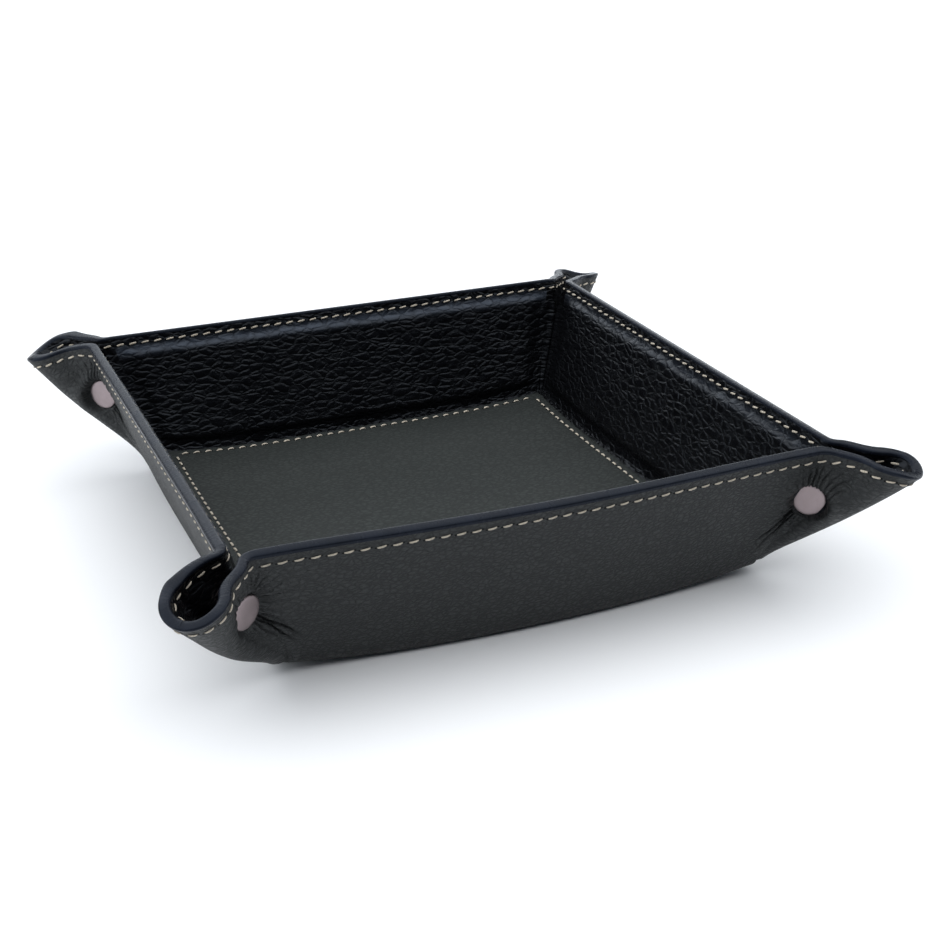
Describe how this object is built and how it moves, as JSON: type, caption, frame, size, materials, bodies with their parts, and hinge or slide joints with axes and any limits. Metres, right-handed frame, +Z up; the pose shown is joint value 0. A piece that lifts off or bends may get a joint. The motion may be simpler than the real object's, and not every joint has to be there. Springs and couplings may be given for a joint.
{
  "type": "valet tray",
  "caption": "Square leather valet tray with sloping stitched sides held up by snapped, pinched corners and a stitched floor pad; keeps keys and coins, unsnaps and opens out.",
  "frame": {"origin": "Centre of the underside, on the table.", "axes": "+Z up; -Y is the side turned most to the picture's viewer; +X to its right. The tray is square, so X and Y have the same size."},
  "size_m": [0.2182, 0.2182, 0.0452],
  "materials": {
    "outer_leather": "fine grain, low sheen",
    "lining_leather": "coarse pebbled, semi-gloss",
    "pad_leather": "fine grain, matt",
    "board": "raw grey board, hidden between the leathers",
    "thread": "waxed cream thread",
    "snap_metal": "satin nickel"
  },
  "bodies": {
    "floor": {"floor_outer_leather": "outer_leather", "floor_board": "board", "floor_lining": "lining_leather", "base_pad": "pad_leather", "pad_stitching": "thread"},
    "front_wall": {"front_wall_outer_leather": "outer_leather", "front_wall_board": "board", "front_wall_lining": "lining_leather", "front_wall_stitching": "thread"},
    "right_wall": {"right_wall_outer_leather": "outer_leather", "right_wall_board": "board", "right_wall_lining": "lining_leather", "right_wall_stitching": "thread"},
    "back_wall": {"back_wall_outer_leather": "outer_leather", "back_wall_board": "board", "back_wall_lining": "lining_leather", "back_wall_stitching": "thread"},
    "left_wall": {"left_wall_outer_leather": "outer_leather", "left_wall_board": "board", "left_wall_lining": "lining_leather", "left_wall_stitching": "thread"},
    "front_wall_left_ear": {"front_wall_left_ear_outer_leather": "outer_leather", "front_wall_left_ear_lining": "lining_leather", "front_wall_left_ear_snap_cap": "snap_metal", "front_wall_left_ear_snap_socket": "snap_metal", "front_wall_left_ear_snap_spring": "snap_metal"},
    "front_wall_right_ear": {"front_wall_right_ear_outer_leather": "outer_leather", "front_wall_right_ear_lining": "lining_leather", "front_wall_right_ear_snap_post": "snap_metal", "front_wall_right_ear_snap_stud": "snap_metal"},
    "right_wall_left_ear": {"right_wall_left_ear_outer_leather": "outer_leather", "right_wall_left_ear_lining": "lining_leather", "right_wall_left_ear_snap_cap": "snap_metal", "right_wall_left_ear_snap_socket": "snap_metal", "right_wall_left_ear_snap_spring": "snap_metal"},
    "right_wall_right_ear": {"right_wall_right_ear_outer_leather": "outer_leather", "right_wall_right_ear_lining": "lining_leather", "right_wall_right_ear_snap_post": "snap_metal", "right_wall_right_ear_snap_stud": "snap_metal"},
    "back_wall_left_ear": {"back_wall_left_ear_outer_leather": "outer_leather", "back_wall_left_ear_lining": "lining_leather", "back_wall_left_ear_snap_cap": "snap_metal", "back_wall_left_ear_snap_socket": "snap_metal", "back_wall_left_ear_snap_spring": "snap_metal"},
    "back_wall_right_ear": {"back_wall_right_ear_outer_leather": "outer_leather", "back_wall_right_ear_lining": "lining_leather", "back_wall_right_ear_snap_post": "snap_metal", "back_wall_right_ear_snap_stud": "snap_metal"},
    "left_wall_left_ear": {"left_wall_left_ear_outer_leather": "outer_leather", "left_wall_left_ear_lining": "lining_leather", "left_wall_left_ear_snap_cap": "snap_metal", "left_wall_left_ear_snap_socket": "snap_metal", "left_wall_left_ear_snap_spring": "snap_metal"},
    "left_wall_right_ear": {"left_wall_right_ear_outer_leather": "outer_leather", "left_wall_right_ear_lining": "lining_leather", "left_wall_right_ear_snap_post": "snap_metal", "left_wall_right_ear_snap_stud": "snap_metal"}
  },
  "joints": [
    {"name": "front_fold", "type": "hinge", "parent": "floor", "child": "front_wall", "pos_m": [0, -0.076, 0], "axis": [1, 0, 0], "range_deg": [0, 58]},
    {"name": "right_fold", "type": "hinge", "parent": "floor", "child": "right_wall", "pos_m": [0.076, 0, 0], "axis": [0, 1, 0], "range_deg": [0, 58]},
    {"name": "back_fold", "type": "hinge", "parent": "floor", "child": "back_wall", "pos_m": [0, 0.076, 0], "axis": [-1, 0, 0], "range_deg": [0, 58]},
    {"name": "left_fold", "type": "hinge", "parent": "floor", "child": "left_wall", "pos_m": [-0.076, 0, 0], "axis": [0, -1, 0], "range_deg": [0, 58]},
    {"name": "front_wall_left_ear_bend", "type": "hinge", "parent": "front_wall", "child": "front_wall_left_ear", "pos_m": [-0.07381, -0.07416, 0.00406], "axis": [0.2561, 0.2987, -0.9193], "range_deg": [0, 37.2]},
    {"name": "front_wall_right_ear_bend", "type": "hinge", "parent": "front_wall", "child": "front_wall_right_ear", "pos_m": [0.07381, -0.07416, 0.00406], "axis": [0.2561, -0.2987, 0.9193], "range_deg": [0, 37.2]},
    {"name": "right_wall_left_ear_bend", "type": "hinge", "parent": "right_wall", "child": "right_wall_left_ear", "pos_m": [0.07416, -0.07381, 0.00406], "axis": [-0.2987, 0.2561, -0.9193], "range_deg": [0, 37.2]},
    {"name": "right_wall_right_ear_bend", "type": "hinge", "parent": "right_wall", "child": "right_wall_right_ear", "pos_m": [0.07416, 0.07381, 0.00406], "axis": [0.2987, 0.2561, 0.9193], "range_deg": [0, 37.2]},
    {"name": "back_wall_left_ear_bend", "type": "hinge", "parent": "back_wall", "child": "back_wall_left_ear", "pos_m": [0.07381, 0.07416, 0.00406], "axis": [-0.2561, -0.2987, -0.9193], "range_deg": [0, 37.2]},
    {"name": "back_wall_right_ear_bend", "type": "hinge", "parent": "back_wall", "child": "back_wall_right_ear", "pos_m": [-0.07381, 0.07416, 0.00406], "axis": [-0.2561, 0.2987, 0.9193], "range_deg": [0, 37.2]},
    {"name": "left_wall_left_ear_bend", "type": "hinge", "parent": "left_wall", "child": "left_wall_left_ear", "pos_m": [-0.07416, 0.07381, 0.00406], "axis": [0.2987, -0.2561, -0.9193], "range_deg": [0, 37.2]},
    {"name": "left_wall_right_ear_bend", "type": "hinge", "parent": "left_wall", "child": "left_wall_right_ear", "pos_m": [-0.07416, -0.07381, 0.00406], "axis": [-0.2987, -0.2561, 0.9193], "range_deg": [0, 37.2]}
  ],
  "couplings": [
    {"joint": "right_fold", "follows": "front_fold", "ratio": 1},
    {"joint": "back_fold", "follows": "front_fold", "ratio": 1},
    {"joint": "left_fold", "follows": "front_fold", "ratio": 1},
    {"joint": "front_wall_left_ear_bend", "follows": "front_fold", "ratio": 0.64},
    {"joint": "front_wall_right_ear_bend", "follows": "front_fold", "ratio": 0.64},
    {"joint": "right_wall_left_ear_bend", "follows": "front_fold", "ratio": 0.64},
    {"joint": "right_wall_right_ear_bend", "follows": "front_fold", "ratio": 0.64},
    {"joint": "back_wall_left_ear_bend", "follows": "front_fold", "ratio": 0.64},
    {"joint": "back_wall_right_ear_bend", "follows": "front_fold", "ratio": 0.64},
    {"joint": "left_wall_left_ear_bend", "follows": "front_fold", "ratio": 0.64},
    {"joint": "left_wall_right_ear_bend", "follows": "front_fold", "ratio": 0.64}
  ]
}
